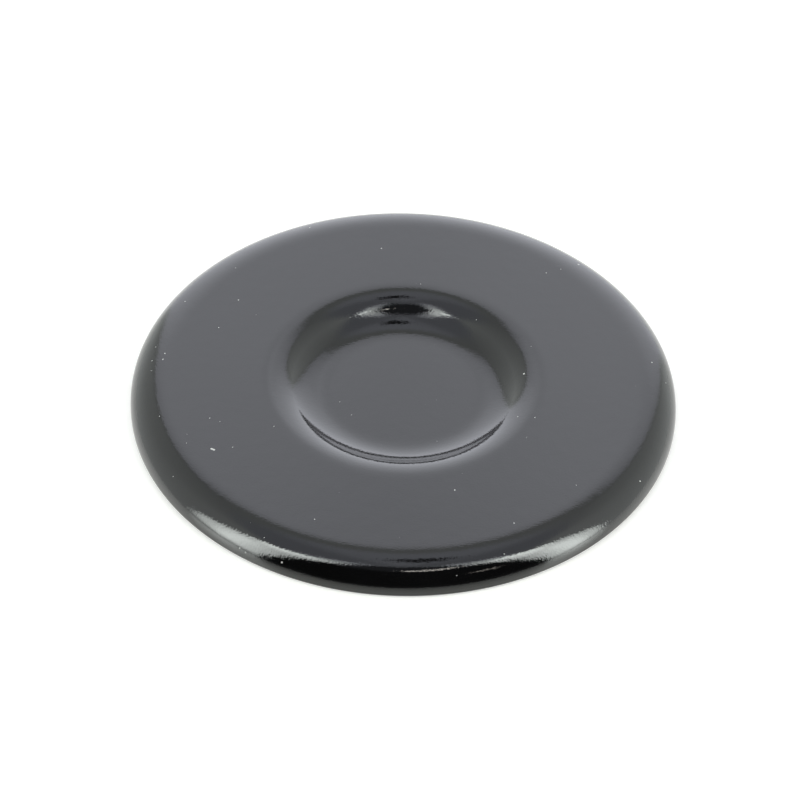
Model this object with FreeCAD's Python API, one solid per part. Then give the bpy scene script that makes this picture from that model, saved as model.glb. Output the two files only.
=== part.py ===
"""Gas burner cap: a round cover pressed from one enamelled steel sheet.

Seen from above, a shallow dish in the middle is followed by a flat ring, and a shoulder that starts gently
then turns down into a rim that ends upright. The sheet has one thickness all over, so the underside follows
the top face. Lengths are in millimetres and angles in degrees. +Z is up along the axis, and z = 0 is the
surface that the cap stands on.
"""
import FreeCAD, Part

import math
import os

# Driving dimensions of the cap
cap_diameter = 75.0  # across the outside of the rim
sheet = 1.3  # steel core with its enamel on both faces
dish_diameter = 30.6  # across the steepest line of the dish's wall, on the top face
dish_wall_angle = 33.0  # slope of the dish's wall at its steepest line
dish_floor_bend = 8.5  # inside bend from the dish's floor into its wall, on the top face
dish_lip_bend = 6.0  # inside bend from the dish's wall into the ring, on the underside
shoulder_bend = 6.8  # inside bend of the shoulder's gentle start, on the underside
shoulder_slope = 19.5  # slope at which the shoulder tightens into its turn-down
turndown_bend = 2.6  # inside bend of the turn-down, on the underside
turndown_slope = 52.0  # slope at which the turn-down tightens into the rim
rim_bend = 1.45  # inside bend of the rim, on the underside
edge_round = 0.35  # rounding that the enamel gives both corners of the rim's cut edge


def slope(angle):
    """Sine and cosine of a slope given in degrees."""
    turn = math.radians(angle)
    return math.sin(turn), math.cos(turn)


class Section:
    """A chain of lines and tangent arcs in the half plane of radius and height."""

    def __init__(self, radius, height):
        self.here = FreeCAD.Vector(radius, 0, height)
        self.edges = []

    def line(self, radius, height):
        """Adds a straight run to a point."""
        there = FreeCAD.Vector(radius, 0, height)
        self.edges.append(Part.LineSegment(self.here, there).toShape())
        self.here = there

    def arc(self, centre, bend, first, last):
        """Adds an arc about a centre, from one direction to another, in degrees above the outward axis."""
        def at(direction):
            rise, run = slope(direction)
            return FreeCAD.Vector(centre[0] + bend * run, 0, centre[1] + bend * rise)

        there = at(last)
        self.edges.append(Part.Arc(self.here, at((first + last) / 2), there).toShape())
        self.here = there

    def turned(self):
        """The solid that the closed chain makes when it is turned once about the axis."""
        face = Part.Face(Part.Wire(self.edges))
        return face.revolve(FreeCAD.Vector(0, 0, 0), FreeCAD.Vector(0, 0, 1), 360)


# Each bend on the other face of the sheet is one thickness larger
lip_outer = dish_lip_bend + sheet
floor_outer = dish_floor_bend + sheet
shoulder_outer = shoulder_bend + sheet
turndown_outer = turndown_bend + sheet
rim_outer = rim_bend + sheet

# Radii of the section's joints on the top face, and of the centres of the bends at its edge
wall_sin, wall_cos = slope(dish_wall_angle)
shoulder_sin, shoulder_cos = slope(shoulder_slope)
turndown_sin, turndown_cos = slope(turndown_slope)
rim_radius = cap_diameter / 2
wall_radius = dish_diameter / 2
floor_radius = wall_radius - dish_floor_bend * wall_sin
lip_radius = wall_radius + lip_outer * wall_sin
rim_centre_radius = rim_radius - rim_outer
turndown_centre_radius = rim_centre_radius - (turndown_outer - rim_outer) * turndown_sin
shoulder_radius = turndown_centre_radius - (shoulder_outer - turndown_outer) * shoulder_sin

# Depths below the ring's top face
dish_depth = (lip_outer + dish_floor_bend) * (1 - wall_cos)
turndown_depth = shoulder_outer - (shoulder_outer - turndown_outer) * shoulder_cos
rim_depth = turndown_depth - (turndown_outer - rim_outer) * turndown_cos
corner = min(edge_round, sheet / 2.5)

# The cap stands on the underside of the dish or on its rim, whichever reaches lower
top = max(dish_depth + sheet, rim_depth + corner)
floor_top = top - dish_depth
rim_level = top - rim_depth
rim_foot = rim_level - corner

# Centres of the bends, each shared by both faces of the sheet
floor_centre = (floor_radius, floor_top + dish_floor_bend)
lip_centre = (lip_radius, top - lip_outer)
shoulder_centre = (shoulder_radius, top - shoulder_outer)
turndown_centre = (turndown_centre_radius, top - turndown_depth)
rim_centre = (rim_centre_radius, rim_level)
outer_corner = (rim_radius - corner, rim_level)
inner_corner = (rim_radius - sheet + corner, rim_level)

section = Section(0, floor_top)

# Top face, from the axis out to the rim
section.line(floor_radius, floor_top)
section.arc(floor_centre, dish_floor_bend, -90, -90 + dish_wall_angle)
section.arc(lip_centre, lip_outer, 90 + dish_wall_angle, 90)
section.line(shoulder_radius, top)
section.arc(shoulder_centre, shoulder_outer, 90, 90 - shoulder_slope)
section.arc(turndown_centre, turndown_outer, 90 - shoulder_slope, 90 - turndown_slope)
section.arc(rim_centre, rim_outer, 90 - turndown_slope, 0)

# Cut edge of the rim, with the enamel's rounding at both corners
section.arc(outer_corner, corner, 0, -90)
section.line(inner_corner[0], rim_foot)
section.arc(inner_corner, corner, -90, -180)

# Underside, from the rim back to the axis
section.arc(rim_centre, rim_bend, 0, 90 - turndown_slope)
section.arc(turndown_centre, turndown_bend, 90 - turndown_slope, 90 - shoulder_slope)
section.arc(shoulder_centre, shoulder_bend, 90 - shoulder_slope, 90)
section.line(lip_radius, top - sheet)
section.arc(lip_centre, dish_lip_bend, 90, 90 + dish_wall_angle)
section.arc(floor_centre, floor_outer, -90 + dish_wall_angle, -90)
section.line(0, floor_top - sheet)
section.line(0, floor_top)

burner_cap = section.turned()

os.makedirs("parts", exist_ok=True)
burner_cap.exportStep("parts/burner_cap.step")
print("burner_cap valid", burner_cap.isValid(), "solids", len(burner_cap.Solids))
print("volume", round(burner_cap.Volume, 2), "box", burner_cap.optimalBoundingBox(False, False))
print("top", round(top, 3), "dish depth", round(dish_depth, 3), "rim foot", round(rim_foot, 3))
print("flats end at radii", round(floor_radius, 3), round(lip_radius, 3), round(shoulder_radius, 3))
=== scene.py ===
"""Gas burner cap in black enamel: its looks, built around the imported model.

The cap is turned as one fine mesh from the section of the solid, with a gloss cover coat on its top and
rim and a duller ground coat underneath. It stands on a white floor in a light tent, whose cloth has a back
panel and two bright strips and is open at the front, where the camera looks in. Lengths are in metres,
apart from the grains' millimetres, and angles in degrees. A bearing is the angle from +Y, behind the cap,
towards +X, on its right.
"""

import logging
import math
from collections.abc import Callable
from dataclasses import dataclass, field, replace
from enum import Enum

import bpy
import numpy as np
from mathutils import Matrix, Vector


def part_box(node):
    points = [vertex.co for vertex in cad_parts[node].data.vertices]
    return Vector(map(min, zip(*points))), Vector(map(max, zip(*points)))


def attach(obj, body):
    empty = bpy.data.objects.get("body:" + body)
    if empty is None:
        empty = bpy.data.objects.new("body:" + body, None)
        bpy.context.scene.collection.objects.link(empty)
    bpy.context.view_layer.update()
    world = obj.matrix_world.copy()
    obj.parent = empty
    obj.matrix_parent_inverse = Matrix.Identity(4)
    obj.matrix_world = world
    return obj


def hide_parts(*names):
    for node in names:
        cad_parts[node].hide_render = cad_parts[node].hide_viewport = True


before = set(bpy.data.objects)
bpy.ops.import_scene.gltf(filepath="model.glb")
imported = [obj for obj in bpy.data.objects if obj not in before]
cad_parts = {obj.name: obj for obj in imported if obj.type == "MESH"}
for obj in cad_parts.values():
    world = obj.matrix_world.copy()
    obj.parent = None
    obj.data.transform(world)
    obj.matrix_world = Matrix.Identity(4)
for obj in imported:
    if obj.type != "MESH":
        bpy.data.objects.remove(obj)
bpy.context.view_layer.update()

log = logging.getLogger("burner_cap")

Colour = tuple[float, float, float]
Point = tuple[float, float]
Input = bpy.types.NodeSocket | float | tuple[float, ...]

MM = 0.001
MICRON = 0.000001
CAP_NODE = "burner_cap"
CAP_BODY = "root"
BAKE_MAP = "OFBake"
WHITE = (1.0, 1.0, 1.0)


def opaque(colour: Colour) -> tuple[float, float, float, float]:
    """The colour with full alpha, as node sockets take it."""
    return (*colour, 1.0)


def toward(bearing: float, elevation: float) -> Vector:
    """Direction of a bearing and an elevation.

    Args:
        bearing: degrees from +Y towards +X.
        elevation: degrees above the floor.

    Returns:
        The unit vector.
    """
    turn = math.radians(bearing)
    rise = math.radians(elevation)
    return Vector((math.cos(rise) * math.sin(turn), math.cos(rise) * math.cos(turn), math.sin(rise)))


class Wiring:
    """Adds nodes to one node tree and joins their sockets."""

    def __init__(self, tree: bpy.types.NodeTree) -> None:
        """Empties the tree.

        Args:
            tree: the tree of a material, the world or a node group.
        """
        self.tree = tree
        tree.nodes.clear()

    def node(self, kind: str, inputs: dict[str | int, Input] | None = None,
             **settings: object) -> bpy.types.Node:
        """Adds a node.

        Args:
            kind: Blender's name of the node's type.
            inputs: a value, or an output socket to join, for each input by its name or number.
            settings: properties of the node itself.

        Returns:
            The new node.
        """
        made = self.tree.nodes.new(kind)
        for name, value in settings.items():
            setattr(made, name, value)
        for key, value in (inputs or {}).items():
            if isinstance(value, bpy.types.NodeSocket):
                self.tree.links.new(value, made.inputs[key])
            else:
                made.inputs[key].default_value = value
        return made

    def math(self, operation: str, *values: Input) -> bpy.types.NodeSocket:
        """Adds a Math node.

        Args:
            operation: the node's operation.
            values: its inputs in order.

        Returns:
            The output socket.
        """
        return self.node("ShaderNodeMath", dict(enumerate(values)), operation=operation).outputs["Value"]

    def ramp(self, value: Input, before: Point, after: Point, soft: bool = False) -> bpy.types.NodeSocket:
        """Adds a Map Range node, held at both ends.

        Args:
            value: what is mapped.
            before: the two values that it lies between.
            after: the two values that they become.
            soft: whether the change eases in and out.

        Returns:
            The output socket.
        """
        inputs = {"Value": value, "From Min": before[0], "From Max": before[1],
                  "To Min": after[0], "To Max": after[1]}
        kind = "SMOOTHSTEP" if soft else "LINEAR"
        return self.node("ShaderNodeMapRange", inputs, interpolation_type=kind).outputs["Result"]

    def mixed(self, share: Input, first: Input, second: Input) -> bpy.types.NodeSocket:
        """Adds a mix of two colours.

        Args:
            share: how much of the second colour there is.
            first: a colour, or the socket that gives it.
            second: a colour, or the socket that gives it.

        Returns:
            The mixed colour.
        """
        mix = self.node("ShaderNodeMix", {"Factor": share}, data_type="RGBA")
        sockets = [socket for socket in mix.inputs if socket.type == "RGBA"]
        for socket, value in zip(sockets, (first, second)):
            if isinstance(value, bpy.types.NodeSocket):
                self.tree.links.new(value, socket)
            else:
                socket.default_value = opaque(value)
        return next(socket for socket in mix.outputs if socket.type == "RGBA")

    def blend(self, share: Input, first: Input, second: Input) -> bpy.types.NodeSocket:
        """Adds a mix of two values.

        Args:
            share: how much of the second value there is.
            first: a value, or the socket that gives it.
            second: a value, or the socket that gives it.

        Returns:
            The mixed value.
        """
        inputs = {"Factor": share, "A": first, "B": second}
        return self.node("ShaderNodeMix", inputs, data_type="FLOAT").outputs["Result"]

    def graph(self, value: Input, points: tuple[Point, ...]) -> Input:
        """Adds a line through points, held at both ends.

        Args:
            value: what is mapped.
            points: values in rising order, and what they become.

        Returns:
            The output socket, or the one number that a single point gives.
        """
        result: Input = points[0][1]
        for (start, before), (end, after) in zip(points, points[1:]):
            step = self.ramp(value, (start, end), (0.0, after - before))
            result = self.math("ADD", result, step)
        return result

    def place(self) -> bpy.types.NodeSocket:
        """The point on the surface, in the object's own metres."""
        return self.node("ShaderNodeTexCoord").outputs["Object"]


class SharedEffect:
    """A shader node group, made once and placed in each coat with values of its own."""

    name = ""
    amounts: tuple[str, ...] = ()
    result = ""

    def __init__(self) -> None:
        """Makes the group, with an input for each amount and one output."""
        self.tree = bpy.data.node_groups.new(self.name, "ShaderNodeTree")
        for amount in self.amounts:
            self.tree.interface.new_socket(amount, in_out="INPUT", socket_type="NodeSocketFloat")
        self.tree.interface.new_socket(self.result, in_out="OUTPUT", socket_type="NodeSocketFloat")
        wiring = Wiring(self.tree)
        given = wiring.node("NodeGroupInput").outputs
        wiring.node("NodeGroupOutput", {self.result: self.draw(wiring, given)})

    def draw(self, wiring: Wiring, given: bpy.types.NodeOutputs) -> bpy.types.NodeSocket:
        """Adds the effect's own nodes.

        Args:
            wiring: the group's wiring.
            given: the group's amounts.

        Returns:
            The socket that the group puts out.
        """
        raise NotImplementedError

    def add(self, wiring: Wiring, *values: float) -> bpy.types.NodeSocket:
        """Places the group in a material.

        Args:
            wiring: the material's wiring.
            values: the amounts in order.

        Returns:
            The group's output.
        """
        group = wiring.node("ShaderNodeGroup", node_tree=self.tree)
        for amount, value in zip(self.amounts, values, strict=True):
            group.inputs[amount].default_value = value
        return group.outputs[self.result]


class OrangePeel(SharedEffect):
    """The fine ripple that enamel keeps from its firing, over a longer and fainter wave."""

    name = "orange_peel"
    amounts = ("Ripple Pitch", "Wave Pitch", "Wave Share")
    result = "Height"
    detail = 1.0
    detail_share = 0.5

    def draw(self, wiring: Wiring, given: bpy.types.NodeOutputs) -> bpy.types.NodeSocket:
        """Adds both noises.

        Args:
            wiring: the group's wiring.
            given: the group's amounts.

        Returns:
            The height, about one unit from dip to crest.
        """
        heights = []
        for pitch in ("Ripple Pitch", "Wave Pitch"):
            scale = wiring.math("DIVIDE", 1.0, given[pitch])
            inputs = {"Vector": wiring.place(), "Scale": scale, "Detail": self.detail,
                      "Roughness": self.detail_share}
            heights.append(wiring.node("ShaderNodeTexNoise", inputs).outputs["Fac"])
        return wiring.math("MULTIPLY_ADD", heights[1], given["Wave Share"], heights[0])


class CoatClouds(SharedEffect):
    """Broad patches where a coat came out of the kiln a little paler and duller."""

    name = "coat_clouds"
    amounts = ("Patch Size",)
    result = "Cloud"
    detail = 4.0
    detail_share = 0.6
    spread = (0.3, 0.7)

    def draw(self, wiring: Wiring, given: bpy.types.NodeOutputs) -> bpy.types.NodeSocket:
        """Adds the noise of the patches.

        Args:
            wiring: the group's wiring.
            given: the group's amounts.

        Returns:
            The share of cloud, from 0 to 1.
        """
        scale = wiring.math("DIVIDE", 1.0, given["Patch Size"])
        inputs = {"Vector": wiring.place(), "Scale": scale, "Detail": self.detail,
                  "Roughness": self.detail_share}
        noise = wiring.node("ShaderNodeTexNoise", inputs).outputs["Fac"]
        return wiring.ramp(noise, self.spread, (0.0, 1.0))


class FineDust(SharedEffect):
    """Flecks too small to make out singly, scattered one to a cell."""

    name = "fine_dust"
    amounts = ("Spacing", "Fleck Size")
    result = "Dust"
    rarity = 3.0
    fleck_edge = (0.3, 0.6)

    def draw(self, wiring: Wiring, given: bpy.types.NodeOutputs) -> bpy.types.NodeSocket:
        """Adds the cells and the fleck in each.

        Args:
            wiring: the group's wiring.
            given: the group's amounts.

        Returns:
            The dust's cover, from 0 to 1.
        """
        scale = wiring.math("DIVIDE", 1.0, given["Spacing"])
        cells = wiring.node("ShaderNodeTexVoronoi", {"Vector": wiring.place(), "Scale": scale})
        chance = wiring.node("ShaderNodeSeparateColor", {"Color": cells.outputs["Color"]}).outputs["Red"]
        few = wiring.math("POWER", chance, self.rarity)
        reach = wiring.math("MULTIPLY", few, wiring.math("MULTIPLY", given["Fleck Size"], scale))
        share = wiring.math("DIVIDE", cells.outputs["Distance"], reach)
        return wiring.ramp(share, self.fleck_edge, (1.0, 0.0))


class Effects:
    """The node groups that both coats share."""

    def __init__(self) -> None:
        """Makes each group once."""
        self.peel = OrangePeel()
        self.clouds = CoatClouds()
        self.dust = FineDust()


@dataclass(frozen=True)
class Speck:
    """A grain of dust on the top, by its place in plan and its breadth, all in millimetres."""

    x: float
    y: float
    across: float


# Grains that can be made out singly: those of the far half, the left, the right, the dish and the near rim
GRAINS = (
    Speck(-14.1, 31.5, 0.15), Speck(-3.6, 26.9, 0.19), Speck(-24.3, 21.9, 0.13),
    Speck(24.7, 24.8, 0.27), Speck(22.1, 23.2, 0.13), Speck(20.0, 22.3, 0.13),
    Speck(2.1, 19.3, 0.10), Speck(-31.0, 14.7, 0.18), Speck(-23.5, 15.0, 0.18),
    Speck(-25.9, 9.1, 0.17), Speck(-34.4, 5.2, 0.11), Speck(-33.0, 3.6, 0.20),
    Speck(-33.2, 2.4, 0.21), Speck(-34.7, 2.4, 0.16), Speck(-34.6, 0.3, 0.11),
    Speck(-32.8, -8.8, 0.12), Speck(-26.0, -9.1, 0.13), Speck(-24.6, -9.7, 0.10),
    Speck(-17.3, -10.4, 0.12), Speck(-28.8, -14.0, 0.11), Speck(-22.6, -14.6, 0.13),
    Speck(-30.2, -19.5, 0.10), Speck(34.2, 4.2, 0.20), Speck(36.0, 0.8, 0.11),
    Speck(17.8, -7.6, 0.14), Speck(16.6, -11.5, 0.11), Speck(31.6, -18.1, 0.20),
    Speck(23.0, -20.3, 0.10), Speck(16.5, 1.6, 0.27), Speck(15.5, -7.1, 0.15),
    Speck(10.0, 12.7, 0.10), Speck(-8.7, -2.7, 0.11), Speck(-7.0, -5.2, 0.10),
    Speck(7.0, -21.7, 0.20), Speck(-11.2, -27.6, 0.15), Speck(14.7, -27.5, 0.17),
    Speck(-17.6, -30.6, 0.12), Speck(-20.8, -30.9, 0.17), Speck(-20.0, -31.5, 0.18),
    Speck(-15.2, -33.7, 0.22), Speck(7.3, -35.8, 0.10), Speck(13.4, -32.6, 0.15),
)

# A short fibre, as a few grains in a row
FIBRE_END = Speck(-25.40, -14.98, 0.28)
FIBRE_STEP = (0.12, -0.06)
FIBRE = tuple(
    replace(FIBRE_END, x=FIBRE_END.x + FIBRE_STEP[0] * step, y=FIBRE_END.y + FIBRE_STEP[1] * step)
    for step in range(4)
)


@dataclass(frozen=True)
class EnamelCoat:
    """Black glass fired on steel, with its ripple, clouds and dust."""

    name: str
    black: Colour
    cloud: Colour
    roughness: float
    cloud_roughness: float
    peel_depth: float
    fleck_size: float
    index: float = 1.9
    ripple_pitch: float = 0.24 * MM
    wave_pitch: float = 1.6 * MM
    wave_share: float = 1.0
    patch_size: float = 17.0 * MM
    fleck_spacing: float = 1.6 * MM
    dust: Colour = (0.60, 0.60, 0.58)
    dust_roughness: float = 0.7
    grain_edge: Point = (0.35, 0.65)

    def material(self, effects: Effects, grains: list[tuple[Vector, float]]) -> bpy.types.Material:
        """Makes the coat's material.

        Args:
            effects: the shared node groups.
            grains: the centre and breadth of each grain of dust on this coat.

        Returns:
            The material.
        """
        made = bpy.data.materials.new(self.name)
        made.use_nodes = True
        wiring = Wiring(made.node_tree)
        cloud = effects.clouds.add(wiring, self.patch_size)
        cover = self.dust_cover(wiring, effects, grains)
        glass = wiring.mixed(cloud, self.black, self.cloud)
        colour = wiring.mixed(cover, glass, self.dust)
        gloss = wiring.ramp(cloud, (0.0, 1.0), (self.roughness, self.cloud_roughness))
        roughness = wiring.math("MAXIMUM", gloss, wiring.math("MULTIPLY", cover, self.dust_roughness))
        height = effects.peel.add(wiring, self.ripple_pitch, self.wave_pitch, self.wave_share)
        bump = wiring.node("ShaderNodeBump", {"Height": height, "Distance": self.peel_depth})
        inputs = {"Base Color": colour, "Roughness": roughness, "IOR": self.index,
                  "Normal": bump.outputs["Normal"]}
        shader = wiring.node("ShaderNodeBsdfPrincipled", inputs)
        wiring.node("ShaderNodeOutputMaterial", {"Surface": shader.outputs["BSDF"]})
        return made

    def dust_cover(self, wiring: Wiring, effects: Effects,
                   grains: list[tuple[Vector, float]]) -> bpy.types.NodeSocket:
        """Adds the fine dust and each grain.

        Args:
            wiring: the material's wiring.
            effects: the shared node groups.
            grains: the centre and breadth of each grain.

        Returns:
            The dust's cover, from 0 to 1.
        """
        cover = effects.dust.add(wiring, self.fleck_spacing, self.fleck_size)
        place = wiring.place()
        for centre, across in grains:
            away = wiring.node("ShaderNodeVectorMath", {0: place, 1: tuple(centre)}, operation="DISTANCE")
            edge = (self.grain_edge[0] * across, self.grain_edge[1] * across)
            grain = wiring.ramp(away.outputs["Value"], edge, (1.0, 0.0))
            cover = wiring.math("MAXIMUM", cover, grain)
        return cover


class Coat(Enum):
    """The two coats, numbered as the mesh's material slots."""

    COVER = 0
    GROUND = 1


FINISHES = {
    Coat.COVER: EnamelCoat(
        "gloss_cover_coat", black=(0.0010, 0.0010, 0.0011), cloud=(0.0020, 0.0020, 0.0022),
        roughness=0.035, cloud_roughness=0.055, peel_depth=10.0 * MICRON, fleck_size=0.10 * MM,
    ),
    Coat.GROUND: EnamelCoat(
        "dull_ground_coat", black=(0.0060, 0.0060, 0.0064), cloud=(0.0110, 0.0108, 0.0105),
        roughness=0.22, cloud_roughness=0.34, peel_depth=14.0 * MICRON, fleck_size=0.06 * MM,
    ),
}


@dataclass(frozen=True)
class Station:
    """A point of the section, with the direction that its surface faces."""

    radius: float
    height: float
    outward: float
    upward: float
    coat: Coat


def walk(stations: list[Station]) -> np.ndarray:
    """How far each point lies along the section from the first."""
    steps = [math.hypot(b.radius - a.radius, b.height - a.height) for a, b in zip(stations, stations[1:])]
    return np.concatenate([[0.0], np.cumsum(steps)])


@dataclass
class Section:
    """A chain of lines and tangent arcs in the half plane of radius and height, the cover coat's first."""

    stations: list[Station] = field(default_factory=list)

    def line(self, start: Point, end: Point, upward: float, steps: int, coat: Coat) -> None:
        """Adds a level run.

        Args:
            start: radius and height of its first point.
            end: radius and height of its last point.
            upward: 1 where the surface faces up, and -1 where it faces down.
            steps: the number of its parts.
            coat: the coat on it.
        """
        for share in np.linspace(0.0, 1.0, steps + 1):
            radius = start[0] + (end[0] - start[0]) * share
            self.add(Station(radius, start[1], 0.0, upward, coat))

    def arc(self, centre: Point, bend: float, turn: Point, bulge: float, steps: int, coat: Coat) -> None:
        """Adds a round run.

        Args:
            centre: radius and height of the bend's centre.
            bend: its radius.
            turn: its first and last directions from the centre, in degrees above the outward axis.
            bulge: 1 where the surface faces away from the centre, and -1 where it faces it.
            steps: the number of its parts.
            coat: the coat on it.
        """
        for direction in np.radians(np.linspace(*turn, steps + 1)):
            run = math.cos(direction)
            rise = math.sin(direction)
            point = (centre[0] + bend * run, centre[1] + bend * rise)
            self.add(Station(*point, bulge * run, bulge * rise, coat))

    def ease(self, flats: tuple[Point, ...], reach: float) -> None:
        """Softens the normals where the top's flats run into its bends, as a press leaves them.

        Args:
            flats: each radius where a flat meets a bend, and how far the slope's change is drawn out there.
            reach: how far from there it fades.
        """
        cover = [station for station in self.stations if station.coat is Coat.COVER]
        walked = walk(cover)
        slopes = [math.atan2(station.outward, station.upward) for station in cover]
        window = np.linspace(-2.5, 2.5, 51)
        weights = np.exp(-0.5 * window ** 2)
        for number, station in enumerate(cover):
            width = max(spread * (1.0 - abs(station.radius - radius) / reach) for radius, spread in flats)
            spots = walked[number] + max(0.0, width) * window
            slope = np.average(np.interp(spots, walked, slopes), weights=weights)
            self.stations[number] = replace(station, outward=math.sin(slope), upward=math.cos(slope))

    def add(self, station: Station) -> None:
        """Adds a point, unless the chain already ends there."""
        if self.stations:
            last = self.stations[-1]
            if math.hypot(last.radius - station.radius, last.height - station.height) < MICRON:
                return
        self.stations.append(station)


@dataclass
class PressedCap:
    """The cap, turned from its section as the solid is."""

    rim_radius: float
    top: float
    sheet: float = 1.3 * MM
    wall_radius: float = 30.6 * MM / 2
    wall_angle: float = 33.0
    floor_bend: float = 8.5 * MM
    lip_bend: float = 6.0 * MM
    shoulder_bend: float = 6.8 * MM
    shoulder_slope: float = 19.5
    turndown_bend: float = 2.6 * MM
    turndown_slope: float = 52.0
    rim_bend: float = 1.45 * MM
    edge_round: float = 0.35 * MM
    floor_ease: float = 0.9 * MM
    lip_ease: float = 0.6 * MM
    shoulder_ease: float = 0.6 * MM
    bend_reach: float = 3.0 * MM
    segments: int = 384

    def section(self) -> Section:
        """Draws the closed outline.

        Returns:
            The chain, from the axis on the top round the rim to the axis underneath.
        """
        lip_outer = self.lip_bend + self.sheet
        shoulder_outer = self.shoulder_bend + self.sheet
        turndown_outer = self.turndown_bend + self.sheet
        rim_outer = self.rim_bend + self.sheet
        wall = toward(90.0, 90 - self.wall_angle)
        start = toward(90.0, 90 - self.shoulder_slope)
        steep = toward(90.0, 90 - self.turndown_slope)

        dish_depth = (lip_outer + self.floor_bend) * (1 - wall.z)
        turndown_depth = shoulder_outer - (shoulder_outer - turndown_outer) * start.z
        rim_depth = turndown_depth - (turndown_outer - rim_outer) * steep.z
        floor_top = self.top - dish_depth
        rim_level = self.top - rim_depth
        rim_foot = rim_level - self.edge_round
        under_ring = self.top - self.sheet
        under_floor = floor_top - self.sheet
        rim_centre_radius = self.rim_radius - rim_outer
        turndown_radius = rim_centre_radius - (turndown_outer - rim_outer) * steep.x
        shoulder_radius = turndown_radius - (shoulder_outer - turndown_outer) * start.x
        floor_radius = self.wall_radius - self.floor_bend * wall.x
        lip_radius = self.wall_radius + lip_outer * wall.x

        floor_centre = (floor_radius, floor_top + self.floor_bend)
        lip_centre = (lip_radius, self.top - lip_outer)
        shoulder_centre = (shoulder_radius, self.top - shoulder_outer)
        turndown_centre = (turndown_radius, self.top - turndown_depth)
        rim_centre = (rim_centre_radius, rim_level)
        outer_corner = (self.rim_radius - self.edge_round, rim_level)
        inner_corner = (self.rim_radius - self.sheet + self.edge_round, rim_level)
        slant = self.wall_angle
        first = 90 - self.shoulder_slope
        last = 90 - self.turndown_slope

        chain = Section()
        chain.line((0, floor_top), (floor_radius, floor_top), 1, 24, Coat.COVER)
        chain.arc(floor_centre, self.floor_bend, (-90, -90 + slant), -1, 24, Coat.COVER)
        chain.arc(lip_centre, lip_outer, (90 + slant, 90), 1, 24, Coat.COVER)
        chain.line((lip_radius, self.top), (shoulder_radius, self.top), 1, 32, Coat.COVER)
        chain.arc(shoulder_centre, shoulder_outer, (90, first), 1, 16, Coat.COVER)
        chain.arc(turndown_centre, turndown_outer, (first, last), 1, 16, Coat.COVER)
        chain.arc(rim_centre, rim_outer, (last, 0), 1, 16, Coat.COVER)
        chain.arc(outer_corner, self.edge_round, (0, -90), 1, 10, Coat.COVER)
        chain.line((outer_corner[0], rim_foot), (inner_corner[0], rim_foot), -1, 2, Coat.GROUND)
        chain.arc(inner_corner, self.edge_round, (-90, -180), 1, 6, Coat.GROUND)
        chain.arc(rim_centre, self.rim_bend, (0, last), -1, 8, Coat.GROUND)
        chain.arc(turndown_centre, self.turndown_bend, (last, first), -1, 8, Coat.GROUND)
        chain.arc(shoulder_centre, self.shoulder_bend, (first, 90), -1, 8, Coat.GROUND)
        chain.line((shoulder_radius, under_ring), (lip_radius, under_ring), -1, 8, Coat.GROUND)
        chain.arc(lip_centre, self.lip_bend, (90, 90 + slant), -1, 12, Coat.GROUND)
        chain.arc(floor_centre, self.floor_bend + self.sheet, (-90 + slant, -90), 1, 12, Coat.GROUND)
        chain.line((floor_radius, under_floor), (0, under_floor), -1, 6, Coat.GROUND)
        flats = ((floor_radius, self.floor_ease), (lip_radius, self.lip_ease),
                 (shoulder_radius, self.shoulder_ease))
        chain.ease(flats, self.bend_reach)
        return chain

    def build(self, effects: Effects) -> bpy.types.Object:
        """Turns the section, dresses it and puts it in the solid's place.

        Args:
            effects: the shared node groups.

        Returns:
            The piece.
        """
        stations = self.section().stations
        mesh = self.turned(stations)
        for coat, finish in FINISHES.items():
            grains = self.seated(stations, GRAINS + FIBRE) if coat is Coat.COVER else []
            mesh.materials.append(finish.material(effects, grains))
        piece = bpy.data.objects.new("enamelled_cap", mesh)
        bpy.context.scene.collection.objects.link(piece)
        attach(piece, CAP_BODY)
        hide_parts(CAP_NODE)
        return piece

    def turned(self, stations: list[Station]) -> bpy.types.Mesh:
        """Makes the mesh of a section, with the section's own normals.

        Args:
            stations: the section's points, with one on the axis at each end.

        Returns:
            The mesh.
        """
        turns = [2 * math.pi * step / self.segments for step in range(self.segments)]
        spokes = [(math.cos(turn), math.sin(turn)) for turn in turns]
        points = []
        normals = []
        rows = []
        for station in stations:
            on_axis = station.radius < MICRON
            row = []
            for run, side in spokes[:1] if on_axis else spokes:
                row.append(len(points))
                points.append((station.radius * run, station.radius * side, station.height))
                normals.append((station.outward * run, station.outward * side, station.upward))
            rows.append(row)

        faces = []
        corners = []
        coats = []
        for near in range(len(stations) - 1):
            far = near + 1
            for step in range(self.segments):
                after = (step + 1) % self.segments
                ring = [(near, step), (far, step), (far, after), (near, after)]
                ring = [corner for corner in ring if len(rows[corner[0]]) > 1 or corner[1] == step]
                faces.append([rows[row][place if len(rows[row]) > 1 else 0] for row, place in ring])
                corners.extend((row, turns[place], stations[far].coat) for row, place in ring)
                coats.append(stations[far].coat.value)

        mesh = bpy.data.meshes.new("enamelled_cap")
        mesh.from_pydata(points, [], faces)
        mesh.polygons.foreach_set("material_index", coats)
        mesh.polygons.foreach_set("use_smooth", [True] * len(faces))
        self.lay_flat(mesh, stations, corners)
        mesh.validate()
        mesh.normals_split_custom_set_from_vertices(normals)
        return mesh

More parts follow.
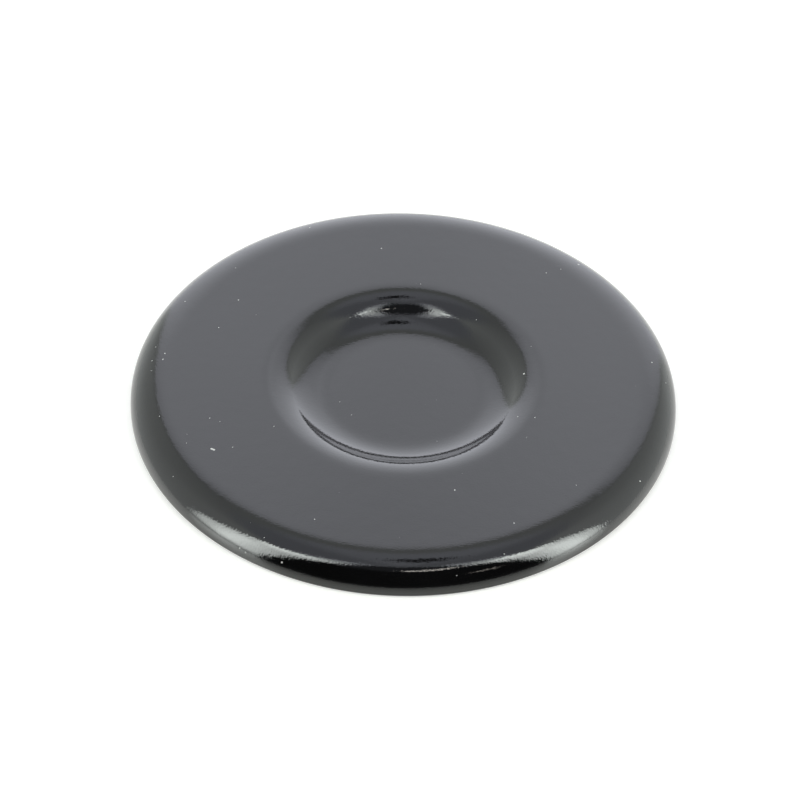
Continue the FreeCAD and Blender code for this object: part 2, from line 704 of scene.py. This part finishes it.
    @staticmethod
    def lay_flat(mesh: bpy.types.Mesh, stations: list[Station],
                 corners: list[tuple[int, float, Coat]]) -> None:
        """Gives the mesh a map with one round field for each coat, true to length along the section.

        Args:
            mesh: the cap's mesh.
            stations: the section's points.
            corners: the station, turn and coat of each face corner in order.
        """
        fields = {Coat.COVER: (0.345, 0.345, 0.34), Coat.GROUND: (0.755, 0.755, 0.235)}
        walked = walk(stations)
        edge = max(walked[i] for i, station in enumerate(stations) if station.coat is Coat.COVER)
        reach = {Coat.COVER: walked / edge, Coat.GROUND: (walked[-1] - walked) / (walked[-1] - edge)}
        layer = mesh.uv_layers.new(name=BAKE_MAP)
        places = []
        for row, turn, coat in corners:
            across, up, size = fields[coat]
            out = size * reach[coat][row]
            places.extend((across + out * math.cos(turn), up + out * math.sin(turn)))
        layer.uv.foreach_set("vector", places)

    @staticmethod
    def seated(stations: list[Station], specks: tuple[Speck, ...]) -> list[tuple[Vector, float]]:
        """Sets grains of dust on the top.

        Args:
            stations: the section's points.
            specks: the grains.

        Returns:
            The centre and breadth of each grain.
        """
        cover = [station for station in stations if station.coat is Coat.COVER and station.upward > 0]
        radii = [station.radius for station in cover]
        heights = [station.height for station in cover]
        grains = []
        for speck in specks:
            height = float(np.interp(math.hypot(speck.x, speck.y) * MM, radii, heights))
            grains.append((Vector((speck.x * MM, speck.y * MM, height)), speck.across * MM))
        return grains


class Aim:
    """Where a point of the tent is seen from its centre: bearing, elevation and direction."""

    def __init__(self, wiring: Wiring) -> None:
        """Adds the nodes that work them out.

        Args:
            wiring: the wiring of a card's material.
        """
        aim = wiring.node("ShaderNodeVectorMath", {0: wiring.place()}, operation="NORMALIZE")
        axes = wiring.node("ShaderNodeSeparateXYZ", {"Vector": aim.outputs["Vector"]}).outputs
        self.side = axes["X"]
        self.back = axes["Y"]
        self.height = axes["Z"]
        self.bearing = wiring.math("DEGREES", wiring.math("ARCTAN2", axes["X"], axes["Y"]))
        self.elevation = wiring.math("DEGREES", wiring.math("ARCSINE", axes["Z"]))


@dataclass(frozen=True)
class Cloth:
    """Lit cloth of one tint, with its level's shares by elevation and by bearing to either side."""

    name: str
    tint: Colour
    level: float
    rise: tuple[Point, ...] = ((0.0, 1.0),)
    sweep: tuple[Point, ...] = ((0.0, 1.0),)

    def material(self) -> bpy.types.Material:
        """Makes the cloth's material.

        Returns:
            The material, which glows.
        """
        made = bpy.data.materials.new(self.name)
        made.use_nodes = True
        wiring = Wiring(made.node_tree)
        aim = Aim(wiring)
        upward = wiring.graph(aim.elevation, self.rise)
        round_about = wiring.graph(wiring.math("ABSOLUTE", aim.bearing), self.sweep)
        level = wiring.math("MULTIPLY", self.level, wiring.math("MULTIPLY", upward, round_about))
        glow = wiring.node("ShaderNodeEmission", {"Color": opaque(self.tint), "Strength": level})
        wiring.node("ShaderNodeOutputMaterial", {"Surface": glow.outputs["Emission"]})
        return made


@dataclass(frozen=True)
class TentSkin:
    """The tent's own cloth: a lit panel at the back, plainer walls, and a roof with two glowing corners."""

    name: str = "tent_skin"
    side_tint: Colour = (0.955, 1.0, 0.985)
    back_tint: Colour = (0.975, 1.0, 1.08)
    roof_tint: Colour = (0.955, 1.0, 1.10)
    corner_tint: Colour = (0.95, 1.0, 0.98)
    back_level: Point = (1.26, 0.34)
    side_level: Point = (0.82, 0.68)
    back_reach: Point = (35.0, 90.0)
    sway: float = 0.06
    roof_level: float = 0.45
    roof_foot: Point = (58.0, 66.0)
    roof_glow: float = 0.18
    roof_left: Point = (-44.0, -8.0)
    roof_right: Point = (22.0, 54.0)
    mouth_middle: float = 0.02
    mouth_spread: float = 0.8
    mouth_side: Point = (0.01, 0.10)
    mouth_back: Point = (0.05, 0.12)
    mouth_level: float = 0.07
    corner_slant: float = 0.45
    corner_side: Point = (0.10, 0.26)
    corner_back: Point = (-0.10, 0.01)
    corner_level: float = 2.8
    crumple_pitch: float = 40 * MM
    crumple_spread: Point = (0.3, 0.7)
    crumple: Point = (0.5, 1.5)
    panel_left: float = -27.4
    panel_right: float = 35.8
    panel_head: float = 53.0
    panel_rise: tuple[Point, ...] = (
        (0, 1.80), (12, 1.74), (20, 1.62), (28, 1.47), (36, 1.31), (38.6, 1.21), (43, 1.15), (46, 1.10),
        (47.7, 1.045), (50, 0.95), (53, 0.84),
    )
    panel_sweep: tuple[Point, ...] = (
        (-27, 0.78), (-23, 0.90), (-18, 0.98), (-12, 1.04), (-5, 1.035), (0, 0.985), (4.5, 1.045),
        (9, 1.09), (16, 1.02), (24, 0.96), (30, 0.88), (35, 0.74),
    )
    border_blur: float = 0.8
    seam_breadth: float = 1.8
    seam_share: float = 0.80

    def material(self) -> bpy.types.Material:
        """Makes the skin's material.

        Returns:
            The material, which glows.
        """
        made = bpy.data.materials.new(self.name)
        made.use_nodes = True
        wiring = Wiring(made.node_tree)
        aim = Aim(wiring)
        inside = self.inside(wiring, aim)
        within = wiring.ramp(inside, (-self.border_blur, self.border_blur), (0.0, 1.0), soft=True)
        panel = wiring.math("MULTIPLY", wiring.graph(aim.elevation, self.panel_rise),
                            wiring.graph(aim.bearing, self.panel_sweep))
        above = wiring.ramp(aim.elevation, self.roof_foot, (0.0, 1.0), soft=True)
        mouth, corner = self.mouth_and_corner(wiring, aim)
        plain = wiring.blend(above, self.wall(wiring, aim, inside), self.roof(wiring, aim, mouth, corner))
        roof_tint = wiring.mixed(corner, self.roof_tint, self.corner_tint)
        tint = wiring.mixed(above, wiring.mixed(within, self.side_tint, self.back_tint), roof_tint)
        inputs = {"Color": tint, "Strength": wiring.blend(within, plain, panel)}
        glow = wiring.node("ShaderNodeEmission", inputs)
        wiring.node("ShaderNodeOutputMaterial", {"Surface": glow.outputs["Emission"]})
        return made

    def inside(self, wiring: Wiring, aim: Aim) -> bpy.types.NodeSocket:
        """Adds how far a point lies inside the panel.

        Args:
            wiring: the material's wiring.
            aim: the direction of the point.

        Returns:
            The degrees to the panel's nearest border, less than 0 outside it.
        """
        left = wiring.math("SUBTRACT", aim.bearing, self.panel_left)
        right = wiring.math("SUBTRACT", self.panel_right, aim.bearing)
        head = wiring.math("SUBTRACT", self.panel_head, aim.elevation)
        return wiring.math("MINIMUM", wiring.math("MINIMUM", left, right), head)

    def wall(self, wiring: Wiring, aim: Aim, inside: bpy.types.NodeSocket) -> bpy.types.NodeSocket:
        """Adds the level of the walls.

        Args:
            wiring: the material's wiring.
            aim: the direction of the point.
            inside: how far the point lies inside the panel.

        Returns:
            The level, with the seam round the panel.
        """
        back = wiring.ramp(aim.height, (0.0, 1.0), self.back_level)
        side = wiring.ramp(aim.height, (0.0, 1.0), self.side_level)
        away = wiring.ramp(wiring.math("ABSOLUTE", aim.bearing), self.back_reach, (0.0, 1.0))
        level = wiring.math("MULTIPLY", wiring.blend(away, back, side),
                            wiring.math("MULTIPLY_ADD", aim.side, self.sway, 1.0))
        middle = wiring.math("ABSOLUTE", wiring.math("ADD", inside, self.seam_breadth))
        seam = wiring.ramp(middle, (0.0, self.seam_breadth), (self.seam_share, 1.0), soft=True)
        return wiring.math("MULTIPLY", level, seam)

    def roof(self, wiring: Wiring, aim: Aim, mouth: bpy.types.NodeSocket,
             corner: bpy.types.NodeSocket) -> bpy.types.NodeSocket:
        """Adds the level of the roof: a glow above the panel, and a dark mouth between two bright corners.

        Args:
            wiring: the material's wiring.
            aim: the direction of the point.
            mouth: the mouth's share.
            corner: the corners' share.

        Returns:
            The level.
        """
        rising = wiring.ramp(aim.bearing, self.roof_left, (0.0, self.roof_glow), soft=True)
        falling = wiring.ramp(aim.bearing, self.roof_right, (1.0, 0.0), soft=True)
        plain = wiring.math("MULTIPLY_ADD", rising, falling, self.roof_level)
        folds = {"Vector": wiring.place(), "Scale": 1 / self.crumple_pitch, "Detail": 1.0}
        noise = wiring.node("ShaderNodeTexNoise", folds).outputs["Fac"]
        crumple = wiring.ramp(noise, self.crumple_spread, self.crumple)
        bright = wiring.math("MULTIPLY", self.corner_level, crumple)
        return wiring.blend(mouth, wiring.blend(corner, plain, bright), self.mouth_level)

    def mouth_and_corner(self, wiring: Wiring,
                         aim: Aim) -> tuple[bpy.types.NodeSocket, bpy.types.NodeSocket]:
        """Adds the shares of the roof's mouth and of the bright corners beside it.

        Args:
            wiring: the material's wiring.
            aim: the direction of the point.

        Returns:
            The mouth's share and the corners' share, each from 0 to 1.
        """
        side = wiring.math("DIVIDE", aim.side, aim.height)
        across = wiring.math("ABSOLUTE", wiring.math("SUBTRACT", side, self.mouth_middle))
        front = wiring.math("DIVIDE", wiring.math("MULTIPLY", aim.back, -1.0), aim.height)
        outside = wiring.math("MULTIPLY_ADD", front, -self.mouth_spread, across)
        forward = wiring.math("MULTIPLY_ADD", across, -self.corner_slant, front)
        mouth = wiring.math("MULTIPLY", wiring.ramp(outside, self.mouth_side, (1.0, 0.0), soft=True),
                            wiring.ramp(front, self.mouth_back, (0.0, 1.0), soft=True))
        beside = wiring.math("MULTIPLY", wiring.ramp(outside, self.mouth_side, (0.0, 1.0), soft=True),
                             wiring.ramp(across, self.corner_side, (0.0, 1.0)))
        before = wiring.ramp(forward, self.corner_back, (0.0, 1.0), soft=True)
        return mouth, wiring.math("MULTIPLY", beside, before)


Edge = Callable[[float], float]


def through(*points: Point) -> Edge:
    """An edge that runs straight from point to point.

    Args:
        points: elevations and the edge's bearings there.

    Returns:
        The bearing at an elevation.
    """
    elevations, bearings = zip(*points)
    return lambda elevation: float(np.interp(elevation, elevations, bearings))


@dataclass
class LightTent:
    """A broad low tent of lit cloth about the cap, open at the front."""

    centre: Vector
    breadth: float = 1700 * MM
    height: float = 590 * MM
    gap: float = 3 * MM
    strip_tint: Colour = (0.95, 1.0, 0.97)
    left_front: Edge = through((0, -129), (26, -129.4), (38, -131.2), (54, -131.8), (67, -134))
    left_back: Edge = through(
        (0, -98.2), (26, -98.4), (38, -101.8), (54, -103), (58, -105.5), (63, -110.5), (69, -117),
    )
    right_front: Edge = through((0, 125.6), (20, 126.2), (38, 128.4), (54, 127.6), (67, 128))
    right_back: Edge = through(
        (0, 101.2), (26, 101.4), (38, 102.6), (54, 102.4), (60, 104.8), (65, 111.5), (69, 117),
    )
    left_level: float = 5.65
    left_head: float = 69.0
    left_rise: tuple[Point, ...] = (
        (0, 0.30), (5, 0.58), (10, 0.84), (16, 0.97), (22, 1.02), (38, 1.0), (50, 0.80), (57, 0.98),
        (63, 1.08), (67, 1.1), (69, 0.7),
    )
    left_sweep: tuple[Point, ...] = ((98.5, 0.5), (106, 0.71), (112, 1.0), (115, 1.0), (129, 0.56))
    right_level: float = 6.15
    right_head: float = 68.5
    right_rise: tuple[Point, ...] = (
        (0, 0.45), (3, 0.66), (6, 0.80), (10, 0.92), (16, 1.0), (36, 0.98), (45, 0.81), (53, 0.98),
        (63, 1.05), (66.5, 0.95), (68.5, 0.6),
    )
    right_sweep: tuple[Point, ...] = ((101, 0.55), (106, 0.68), (111.5, 1.0), (115.5, 1.0), (126.5, 0.5))
    opening_level: float = 0.012
    opening_head: float = 67.0
    opening_rise: tuple[Point, ...] = ((0, 5.0), (4, 3.0), (12, 1.0))
    gleam_tint: Colour = (1.0, 0.95, 0.88)
    gleam_level: float = 4.0
    faint_tint: Colour = (1.0, 0.93, 0.84)
    faint_level: float = 1.4
    hole_level: float = 0.03

    def build(self) -> list[bpy.types.Object]:
        """Makes the skin and what hangs in front of it.

        Returns:
            The cards, from the outermost in.
        """
        left = Cloth("tent_left_strip", self.strip_tint, self.left_level, self.left_rise, self.left_sweep)
        right = Cloth("tent_right_strip", self.strip_tint, self.right_level,
                      self.right_rise, self.right_sweep)
        dark = Cloth("tent_opening", WHITE, self.opening_level, self.opening_rise)
        hole = Cloth("tent_hole", WHITE, self.hole_level)
        gleam = Cloth("tent_roof_gleam", self.gleam_tint, self.gleam_level)
        faint = Cloth("tent_faint_gleam", self.faint_tint, self.faint_level)
        round_about = (lambda elevation: -180.0, lambda elevation: 180.0)
        front = (self.right_front, lambda elevation: 360 + self.left_front(elevation))
        return [
            self.card(TentSkin(), 0, (-0.5, 90.0), round_about, 120),
            self.card(dark, 1, (-0.4, self.opening_head), front, 48),
            self.card(left, 2, (0.0, self.left_head), (self.left_front, self.left_back), 12),
            self.card(right, 2, (0.0, self.right_head), (self.right_back, self.right_front), 12),
            self.bar(gleam, (141.0, 70.5), (177.0, 69.8), 1.4),
            self.bar(faint, (138.0, 42.5), (150.0, 44.5), 1.2),
            self.disc(hole, (13.2, 77.7), 3.9),
        ]

    def spot(self, bearing: float, elevation: float, layer: int) -> Vector:
        """A point of a card from the tent's centre.

        Args:
            bearing: degrees from +Y towards +X.
            elevation: degrees above the floor.
            layer: how many gaps the card lies inside the skin.

        Returns:
            The point.
        """
        aim = toward(bearing, elevation)
        share = math.hypot(math.hypot(aim.x, aim.y) / self.breadth, aim.z / self.height)
        return aim * (1 / share - layer * self.gap)

    def card(self, cloth: Cloth | TentSkin, layer: int, rise: Point, edges: tuple[Edge, Edge],
             steps: int) -> bpy.types.Object:
        """Makes one curved card.

        Args:
            cloth: its finish, which names it.
            layer: how many gaps it lies inside the skin.
            rise: the elevations of its foot and head.
            edges: the bearings of its two edges at each elevation.
            steps: the number of its parts along its foot.

        Returns:
            The card.
        """
        levels = np.linspace(*rise, max(2, round((rise[1] - rise[0]) / 2)))
        points = []
        for elevation in levels:
            for bearing in np.linspace(edges[0](elevation), edges[1](elevation), steps + 1):
                points.append(self.spot(bearing, elevation, layer))
        faces = []
        for row in range(len(levels) - 1):
            for step in range(steps):
                first = row * (steps + 1) + step
                faces.append((first, first + 1, first + steps + 2, first + steps + 1))
        return self.hung(cloth, points, faces)

    def bar(self, cloth: Cloth, start: Point, end: Point, half_breadth: float) -> bpy.types.Object:
        """Makes a thin slanted card in front of the others.

        Args:
            cloth: its finish, which names it.
            start: the bearing and elevation of its first end.
            end: the bearing and elevation of its last end.
            half_breadth: half of its height, in degrees.

        Returns:
            The card.
        """
        def middle(bearing: float) -> float:
            """The elevation of the bar's middle at a bearing."""
            return start[1] + (end[1] - start[1]) * (bearing - start[0]) / (end[0] - start[0])

        points = []
        faces = []
        for bearing in np.linspace(start[0], end[0], 13):
            for offset in (-half_breadth, half_breadth):
                points.append(self.spot(bearing, middle(bearing) + offset, 3))
        for first in range(0, len(points) - 2, 2):
            faces.append((first, first + 1, first + 3, first + 2))
        return self.hung(cloth, points, faces)

    def disc(self, cloth: Cloth, aim: Point, half_breadth: float) -> bpy.types.Object:
        """Makes a round card in front of the others.

        Args:
            cloth: its finish, which names it.
            aim: the bearing and elevation of its centre.
            half_breadth: half of its breadth, in degrees.

        Returns:
            The card.
        """
        sides = 32
        middle = self.spot(*aim, 3)
        turn = middle.to_track_quat("Z", "Y")
        size = middle.length * math.tan(math.radians(half_breadth))
        points = []
        for side in range(sides):
            angle = 2 * math.pi * side / sides
            points.append(middle + turn @ Vector((size * math.cos(angle), size * math.sin(angle), 0.0)))
        return self.hung(cloth, points, [range(sides)])

    def hung(self, cloth: Cloth | TentSkin, points: list[Vector],
             faces: list[tuple[int, ...] | range]) -> bpy.types.Object:
        """Hangs a card in the tent, out of the camera's sight.

        Args:
            cloth: its finish, which names it.
            points: its points from the tent's centre.
            faces: its faces by the numbers of their points.

        Returns:
            The card.
        """
        mesh = bpy.data.meshes.new(cloth.name)
        mesh.from_pydata(points, [], faces)
        mesh.materials.append(cloth.material())
        made = bpy.data.objects.new(cloth.name, mesh)
        made.location = self.centre
        made.visible_camera = False
        made.visible_shadow = False
        bpy.context.scene.collection.objects.link(made)
        return made


@dataclass
class WhiteFloor:
    """A round white floor under the tent, with a painted glow that only reflections see beside and behind
    the cap, and the white beyond it.
    """

    radius: float = 1690 * MM
    drop: float = 0.02 * MM
    white: Colour = (0.745, 0.735, 0.70)
    gloss_roughness: float = 0.12
    index: float = 1.5
    camera_lift: float = 0.42
    # Painted light: a glow that only reflections see, from none in front of the cap to this level behind
    # it, standing in for light on the floor
    painted_glow_ends: Point = (0.0, 0.7)
    painted_glow_reach: Point = (-40 * MM, -14 * MM)
    sides: int = 96

    def build(self) -> bpy.types.Object:
        """Makes the floor and the world.

        Returns:
            The floor.
        """
        turns = [2 * math.pi * side / self.sides for side in range(self.sides)]
        rim = [(self.radius * math.cos(turn), self.radius * math.sin(turn), -self.drop) for turn in turns]
        mesh = bpy.data.meshes.new("white_floor")
        mesh.from_pydata(rim, [], [range(self.sides)])
        mesh.materials.append(self.material())
        floor = bpy.data.objects.new("white_floor", mesh)
        bpy.context.scene.collection.objects.link(floor)
        self.surround()
        return floor

    def material(self) -> bpy.types.Material:
        """Makes the glossy white, lifted evenly for the camera, with a painted glow for reflections beside
        and behind the cap.

        Returns:
            The material.
        """
        made = bpy.data.materials.new("sheeny_white")
        made.use_nodes = True
        wiring = Wiring(made.node_tree)
        back = wiring.node("ShaderNodeSeparateXYZ", {"Vector": wiring.place()}).outputs["Y"]
        # Painted light: the floor glows for reflections, none in front of the cap and rising towards its
        # sides and back, less at grazing looks
        painted_glow = wiring.ramp(back, self.painted_glow_reach, self.painted_glow_ends)
        gloss = wiring.node("ShaderNodeFresnel", {"IOR": self.index}).outputs["Fac"]
        mirrored = wiring.math("MULTIPLY", painted_glow, wiring.math("SUBTRACT", 1.0, gloss))
        strength = self.seen(wiring, self.camera_lift, mirrored)
        inputs = {"Base Color": opaque(self.white), "Roughness": self.gloss_roughness, "IOR": self.index,
                  "Emission Color": opaque(WHITE), "Emission Strength": strength}
        shader = wiring.node("ShaderNodeBsdfPrincipled", inputs)
        wiring.node("ShaderNodeOutputMaterial", {"Surface": shader.outputs["BSDF"]})
        return made

    def surround(self) -> None:
        """Makes the world white to the camera and to reflections, with no light of its own."""
        world = bpy.data.worlds.new("white_surround")
        world.use_nodes = True
        wiring = Wiring(world.node_tree)
        inputs = {"Color": opaque(WHITE), "Strength": self.seen(wiring, 1.0, 1.0)}
        background = wiring.node("ShaderNodeBackground", inputs)
        wiring.node("ShaderNodeOutputWorld", {"Surface": background.outputs["Background"]})
        bpy.context.scene.world = world

    @staticmethod
    def seen(wiring: Wiring, camera: Input, mirrored: Input) -> bpy.types.NodeSocket:
        """Adds a level that only a look from the camera or by a mirror or glass meets.

        Args:
            wiring: the wiring of the material or the world.
            camera: the level for the camera.
            mirrored: the level for a mirror or glass.

        Returns:
            The level.
        """
        path = wiring.node("ShaderNodeLightPath").outputs
        indirect = wiring.math("MAXIMUM", path["Is Glossy Ray"], path["Is Transmission Ray"])
        direct = wiring.math("MULTIPLY", path["Is Camera Ray"], camera)
        return wiring.math("MULTIPLY_ADD", indirect, mirrored, direct)


@dataclass
class Viewpoint:
    """The camera at the picture's viewing angle."""

    elevation: float = 43.43
    distance: float = 390.1 * MM
    target: tuple[float, float, float] = (-0.458 * MM, 0.0, -0.637 * MM)
    roll: float = 1.268
    lens: float = 127.2
    sensor: float = 36.0

    def build(self) -> bpy.types.Object:
        """Makes the camera and gives it to the scene.

        Returns:
            The camera.
        """
        data = bpy.data.cameras.new("camera")
        data.lens = self.lens
        data.sensor_width = self.sensor
        data.clip_start = MM
        camera = bpy.data.objects.new("camera", data)
        back = toward(180.0, self.elevation)
        turn = (-back).to_track_quat("-Z", "Y").to_matrix().to_4x4()
        eye = Vector(self.target) + back * self.distance
        roll = Matrix.Rotation(math.radians(self.roll), 4, "Z")
        camera.matrix_world = Matrix.Translation(eye) @ turn @ roll
        bpy.context.scene.collection.objects.link(camera)
        bpy.context.scene.camera = camera
        return camera


def main() -> None:
    """Builds the cap, its stage and the camera, and logs the cap's faces and the name of each piece."""
    logging.basicConfig(level=logging.INFO, format="%(name)s: %(message)s")
    bpy.context.scene.view_settings.view_transform = "Standard"
    _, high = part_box(CAP_NODE)
    cap = PressedCap(rim_radius=high.x, top=high.z).build(Effects())
    log.info("%s has %d faces", cap.name, len(cap.data.polygons))
    for card in LightTent(centre=Vector((0.0, 0.0, high.z))).build():
        log.info("%s hangs in the tent", card.name)
    log.info("%s lies under the cap", WhiteFloor().build().name)
    log.info("%s looks from %s", Viewpoint().build().name, bpy.context.scene.camera.location[:])


if __name__ == "__main__":
    main()
